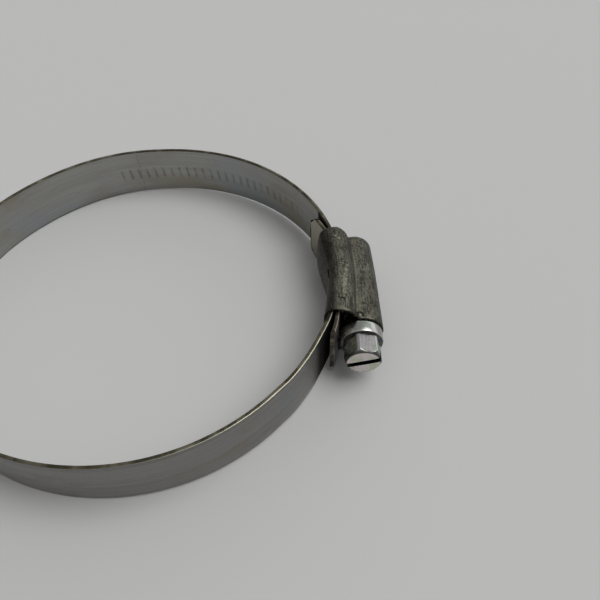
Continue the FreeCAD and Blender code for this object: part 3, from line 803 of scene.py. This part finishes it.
def housing_steel():
    """Dull pressed sheet: nearly black in its pores, grey-brown where mottled, rubbed and scratched; painted
    highlight and shade.
    """
    material, shader, ways = metal("housing_sheet_steel")
    node, feed, maths, times, apart, spread, noise, blend, parts, grouped = ways
    wear_and_light = grouped(sheet_wear_and_light(), Rim_width=0.6 * MM)
    colour = blend(wear_and_light["Mottle"], (0.032, 0.031, 0.024), (0.108, 0.105, 0.083))
    colour = blend(times(wear_and_light["Scratches"], 0.7), colour, (0.27, 0.26, 0.21))
    # Rubbed places, and the painted highlight along the ridge.
    colour = blend(times(wear_and_light["Rubbed and highlight"], 0.75), colour, (0.27, 0.255, 0.195))
    # Painted shade round the retainers and on the saddle side.
    colour = blend(wear_and_light["Shade"], colour, (0.014, 0.013, 0.010))
    feed(shader.inputs["Base Color"], colour)
    rough = maths("SUBTRACT", spread(wear_and_light["Grit"], 0.3, 0.7, 0.42, 0.58), times(wear_and_light["Scratches"], 0.1))
    feed(shader.inputs["Roughness"], rough)
    height = maths("ADD", times(wear_and_light["Mottle"], 0.8), times(wear_and_light["Grit"], 0.5))
    bumped(node, feed, shader, maths("SUBTRACT", height, times(wear_and_light["Scratches"], 0.6)), 0.5, 0.08)
    return material


HOUSING_STEEL = housing_steel()
housing.data.materials.append(HOUSING_STEEL)
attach(housing, "housing")
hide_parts("housing")

# The screw's retainers: two small bumps of the housing's own sheet, one on each flank of the tube's
# near end. They are punched once the screw is in, and keep it from running out.
RETAINER_RISE = 0.42
RETAINER_LEAN = 0.12
ROUND_RETAINER = 28
around = np.linspace(0, 2 * math.pi, ROUND_RETAINER + 1)[:-1]

for flank, flank_side in (("top", 1.0), ("under", -1.0)):
    mesh = bmesh.new()
    mesh.loops.layers.uv.new("sheet")
    mesh.loops.layers.uv.new("wear")
    rings = []
    for down in np.clip(np.linspace(0, math.pi, 17), 0.01, math.pi - 0.01):
        dome = math.copysign(abs(math.cos(down)) ** 0.8, math.cos(down))
        x = RETAINER_R * math.sin(down) * np.cos(around)
        y = RETAINER_R * math.sin(down) * np.sin(around)
        z = flank_side * (RETAINER_UP + RETAINER_RISE * dome - RETAINER_LEAN * x)
        rings.append([(mesh.verts.new((MM * (RETAINER_X + x[i]), MM * (RETAINER_Y + y[i]), MM * z[i])),)
                      for i in range(ROUND_RETAINER)])
    join_rings(mesh, rings)
    retainer = placed("housing_retainer_" + flank, mesh)
    retainer.data.materials.append(HOUSING_STEEL)
    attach(retainer, "housing")

# The screw: worm, neck, domed collar and slotted hexagon, cold headed and rolled in one piece of
# steel and zinc plated. The plating is bright and slightly blue, with pink and green in its sheen.
HEX_FLATS = 6.8
HEAD_TURN = math.radians(15.5)
HEAD_END = -19.45
HEX_FACE_R = 3.22
HEX_CHAMFER = 0.75
HEX_EDGE_R = 0.8
SLOT_WIDTH = 1.25
SLOT_DEEP = 1.9
COLLAR_FAR = -12.35
COLLAR_NEAR = -15.0
COLLAR_R = 4.25
COLLAR_DOME = ((0.4, 0.0), (0.2, 0.05), (0.05, 0.18), (0.0, 0.38), (0.0, 0.9), (0.0, 1.5))
COLLAR_EDGE_R = 0.26
HEX_ROOT_FILL = 0.12
NECK_R = 2.6
CORE_R = 2.5
WORM_FROM = -8.6
WORM_TO = 5.4
WORM_RUN_OUT = 0.6
JOURNAL_R = 2.3
TIP = 10.1
TIP_R = 1.6
TIP_CHAMFER = 0.3
ROUND_SCREW = 168
screw_turns = HEAD_TURN + np.linspace(0, 2 * math.pi, ROUND_SCREW + 1)[:-1]


def hexagon_radius(end_gap):
    """Outline of the hexagon, drawn in by the cone that chamfers its end."""
    facet = np.mod(screw_turns - HEAD_TURN + math.pi / 6, math.pi / 3) - math.pi / 6
    flat = HEX_FLATS / 2 / np.cos(facet)
    from_corner = math.pi / 6 - np.abs(facet)
    centre = (HEX_FLATS / 2 - HEX_EDGE_R) / math.cos(math.pi / 6)
    off = centre * np.sin(from_corner)
    reach = HEX_EDGE_R ** 2 - off ** 2
    edge = np.where(reach > 0, centre * np.cos(from_corner) + np.sqrt(np.maximum(reach, 0)), 9.0)
    cone = HEX_FACE_R + (centre + HEX_EDGE_R - HEX_FACE_R) * end_gap / HEX_CHAMFER
    return np.minimum(np.where(np.abs(off) < HEX_EDGE_R / 2, np.minimum(flat, edge), flat), cone)


def worm_radius(y):
    """The thread is a right-hand ridge that meets the band's side of the core at y = 0."""
    across = np.mod(y / PITCH - (math.pi - screw_turns) / (2 * math.pi) + 0.5, 1.0) - 0.5
    ridge = np.clip((0.5 - np.abs(across * PITCH)) / 0.25 + 1.0, 0, 1)
    ridge = ridge * eased(y, WORM_FROM, WORM_FROM + WORM_RUN_OUT)
    ridge = ridge * (1 - eased(y, WORM_TO - WORM_RUN_OUT, WORM_TO))
    return CORE_R + (WORM_R - CORE_R) * ridge


def plain(radius):
    return np.zeros(ROUND_SCREW) + radius


sections = [(TIP, plain(TIP_R)), (TIP - TIP_CHAMFER, plain(JOURNAL_R - 0.1)), (WORM_TO, plain(JOURNAL_R))]
for y in np.linspace(WORM_TO, WORM_FROM, 90):
    sections.append((y, worm_radius(y)))
sections += [(WORM_FROM - 0.02, plain(NECK_R)), (COLLAR_FAR, plain(NECK_R))]
for drop, back in COLLAR_DOME:
    sections.append((COLLAR_FAR - back, plain(COLLAR_R - drop)))
for a in even(0, math.pi / 2, 7)[1:]:
    sections.append((COLLAR_NEAR + COLLAR_EDGE_R * (1 - math.sin(a)),
                     plain(COLLAR_R - COLLAR_EDGE_R * (1 - math.cos(a)))))
root = hexagon_radius(9.0)
sections.append((COLLAR_NEAR + 0.04, np.minimum(root + HEX_ROOT_FILL, COLLAR_R - 0.3)))
for y in np.linspace(COLLAR_NEAR, HEAD_END + HEX_CHAMFER + 0.03, 8):
    sections.append((y, root))
for gap in (0.68, 0.58, 0.47, 0.36, 0.24, 0.12):
    sections.append((HEAD_END + gap, hexagon_radius(gap)))
for gap, radius in ((0.02, HEX_FACE_R - 0.02), (0.0, HEX_FACE_R - 0.1), (-0.03, 2.6), (-0.05, 1.2)):
    sections.append((HEAD_END + gap, plain(radius)))

mesh = bmesh.new()
rings = []
for y, radius in sections:
    x = SCREW_X + radius * np.cos(screw_turns)
    z = radius * np.sin(screw_turns)
    rings.append([(mesh.verts.new((MM * x[i], MM * y, MM * z[i])),) for i in range(ROUND_SCREW)])
join_rings(mesh, rings)
screw = placed("screw_zinc", mesh)
slot_tool = box_tool("slot", (-6.0, -3.0, -SLOT_WIDTH / 2), (6.0, SLOT_DEEP, SLOT_WIDTH / 2))
for vert in slot_tool.data.vertices:
    x, y, z = vert.co
    vert.co = (MM * SCREW_X + x * math.cos(HEAD_TURN) - z * math.sin(HEAD_TURN), y + MM * HEAD_END,
               x * math.sin(HEAD_TURN) + z * math.cos(HEAD_TURN))
cut_away(screw, slot_tool)
screw.data.set_sharp_from_angle(angle=math.radians(32))


def screw_zinc():
    """Bright zinc: pale end face, painted highlight on the collar rim, a dull chamfer painted dark, painted
    shade in slot and root.
    """
    material, shader, ways = metal("screw_zinc_plate")
    node, feed, maths, times, apart, spread, noise, blend, parts, _ = ways
    place = node("TexCoord").outputs["Object"]
    x, y, z = parts(place)
    off_axis = maths("SUBTRACT", x, SCREW_X * MM)
    flattened = node("CombineXYZ")
    feed(flattened.inputs["X"], off_axis)
    feed(flattened.inputs["Y"], z)
    length = node("VectorMath", operation="LENGTH")
    feed(length.inputs[0], flattened.outputs[0])
    radius = length.outputs["Value"]

    def past(value, low, high, to_low=0.0, to_high=1.0):
        return spread(value, low * MM, high * MM, to_low, to_high)

    sheen = noise(place, (520, 300, 520), 3.0)
    grain = noise(place, (2900, 700, 2900), 4.0, 0.6)
    colour = blend(spread(sheen, 0.36, 0.64), (0.35, 0.40, 0.335), (0.41, 0.39, 0.405))
    colour = blend(spread(grain, 0.45, 0.75, 0.0, 0.4), colour, (0.20, 0.205, 0.17))
    end_face = times(past(y, HEAD_END + 0.02, HEAD_END + 0.06, 1.0, 0.0),
                     past(radius, HEX_FACE_R - 0.1, HEX_FACE_R, 1.0, 0.0))
    colour = blend(end_face, colour, blend(spread(sheen, 0.4, 0.6), (0.56, 0.57, 0.46), (0.72, 0.65, 0.65)))
    # Painted shade: the chamfer is darkened to stand for the shaded table that it reflects.
    chamfer = times(past(y, HEAD_END + 0.3, HEAD_END + 0.7, 0.85, 0.0),
                    past(radius, HEX_FACE_R - 0.06, HEX_FACE_R))
    colour = blend(chamfer, colour, (0.075, 0.078, 0.062))
    # Painted highlight: the collar's near rim is made pale for the bright reflection along it.
    collar_rim = times(past(y, COLLAR_NEAR + 0.16, COLLAR_NEAR + 0.3, 0.9, 0.0),
                       past(radius, COLLAR_R - 0.2, COLLAR_R - 0.1))
    colour = blend(collar_rim, colour, (0.66, 0.68, 0.61))
    # Painted shade in the groove where the hexagon meets the collar.
    painted_root_shade = past(apart(y, (COLLAR_NEAR - 0.06) * MM), 0.06, 0.22, 0.8, 0.0)
    colour = blend(painted_root_shade, colour, (0.05, 0.05, 0.045))
    # Painted shade inside the slot.
    across = maths("SUBTRACT", times(z, math.cos(HEAD_TURN)), times(off_axis, math.sin(HEAD_TURN)))
    in_slot = times(past(maths("ABSOLUTE", across), SLOT_WIDTH / 2 + 0.01, SLOT_WIDTH / 2 + 0.03, 1.0, 0.0),
                    past(y, HEAD_END + 0.02, HEAD_END + 0.12),
                    past(y, COLLAR_NEAR, COLLAR_NEAR + 0.1, 1.0, 0.0))
    colour = blend(times(in_slot, 0.9), colour, (0.07, 0.085, 0.115))
    feed(shader.inputs["Base Color"], colour)
    feed(shader.inputs["Roughness"], maths("ADD", spread(grain, 0.3, 0.7, 0.2, 0.3), times(chamfer, 0.2)))
    bumped(node, feed, shader, grain, 0.12, 0.04)
    return material


screw.data.materials.append(screw_zinc())
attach(screw, "screw")
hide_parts("screw")

# The table: a matt, pale grey-white sheet. The clamp rests on the housing's side and on the ring's edge
# across from it, so the sheet lies a little askew to the clamp. The room's light comes from a wide
# window beyond the far side, low over the table, and from one soft lamp high above the screw.
REST_HOUSING = (44.0, -6.88)
REST_RING = (-42.4, -6.03)
WINDOW_WAY = (0.40, 0.92, 0.0)
LAMP_WAY = (0.47, 0.06, 0.88)

mesh = bmesh.new()
bmesh.ops.create_grid(mesh, x_segments=1, y_segments=1, size=2.0)
floor = placed("floor", mesh)
floor.location = (REST_HOUSING[0] * MM, 0, REST_HOUSING[1] * MM)
askew = math.atan2(REST_RING[1] - REST_HOUSING[1], REST_HOUSING[0] - REST_RING[0])
floor.rotation_euler = (0, askew, 0)
paper = bpy.data.materials.new("floor_paper")
paper.use_nodes = True
paper_shader = paper.node_tree.nodes["Principled BSDF"]
paper_shader.inputs["Base Color"].default_value = (0.515, 0.515, 0.51, 1)
paper_shader.inputs["Roughness"].default_value = 0.9
paper_shader.inputs["Specular IOR Level"].default_value = 0.2
floor.data.materials.append(paper)


def grey(level):
    return level, level, level


def room_light():
    """Sky by direction: grey overhead, the window low, the lamp high, and a pale wall where it is seen."""
    world = bpy.data.worlds.new("room")
    world.use_nodes = True
    node, feed, maths, times, apart, spread, noise, blend, parts, _ = graph(world.node_tree)
    toward = node("TexCoord").outputs["Generated"]
    up = parts(toward)["Z"]

    def nearness(way):
        dot = node("VectorMath", operation="DOT_PRODUCT")
        feed(dot.inputs[0], toward)
        dot.inputs[1].default_value = way
        return dot.outputs["Value"]

    low = blend(spread(nearness(WINDOW_WAY), 0.2, 0.85), grey(0.18), grey(1.5))
    path = node("LightPath").outputs
    seen = maths("MAXIMUM", path["Is Camera Ray"], path["Is Glossy Ray"])
    seen = maths("MAXIMUM", seen, path["Is Transmission Ray"])
    wall = blend(seen, grey(0.10), grey(0.46))
    sky = blend(spread(up, 0.36, 0.62), blend(spread(up, 0.0, 0.22), wall, low), grey(0.38))
    sky = blend(spread(nearness(LAMP_WAY), 0.87, 0.985), sky, grey(4.5))
    background = world.node_tree.nodes["Background"]
    feed(background.inputs["Color"], sky)
    background.inputs["Strength"].default_value = 1.0
    return world


bpy.context.scene.world = room_light()

# The camera: it stands close above the near side of the ring, where the photograph was taken from,
# turned a little past the ring's middle and rolled by two and a half degrees.
YAW = -0.02631
PITCH_DOWN = 0.875
ROLL = -0.0433
EYE = (37.2, -80.38, 92.11)
SENSOR = 36.0
FOCAL_PIXELS = 574.15
PICTURE_PIXELS = 600

forward = Vector((math.cos(PITCH_DOWN) * math.sin(YAW), math.cos(PITCH_DOWN) * math.cos(YAW),
                  -math.sin(PITCH_DOWN)))
level = Vector((math.cos(YAW), -math.sin(YAW), 0))
upright = level.cross(forward)
right = level * math.cos(ROLL) + upright * math.sin(ROLL)
up = upright * math.cos(ROLL) - level * math.sin(ROLL)
lens = bpy.data.cameras.new("camera")
lens.sensor_width = SENSOR
lens.lens = FOCAL_PIXELS / PICTURE_PIXELS * SENSOR
lens.clip_start = 0.005
camera = bpy.data.objects.new("camera", lens)
camera.matrix_world = Matrix((
    (right.x, up.x, -forward.x, EYE[0] * MM),
    (right.y, up.y, -forward.y, EYE[1] * MM),
    (right.z, up.z, -forward.z, EYE[2] * MM),
    (0, 0, 0, 1)))
bpy.context.scene.collection.objects.link(camera)
bpy.context.scene.camera = camera
bpy.context.scene.view_settings.view_transform = "Standard"
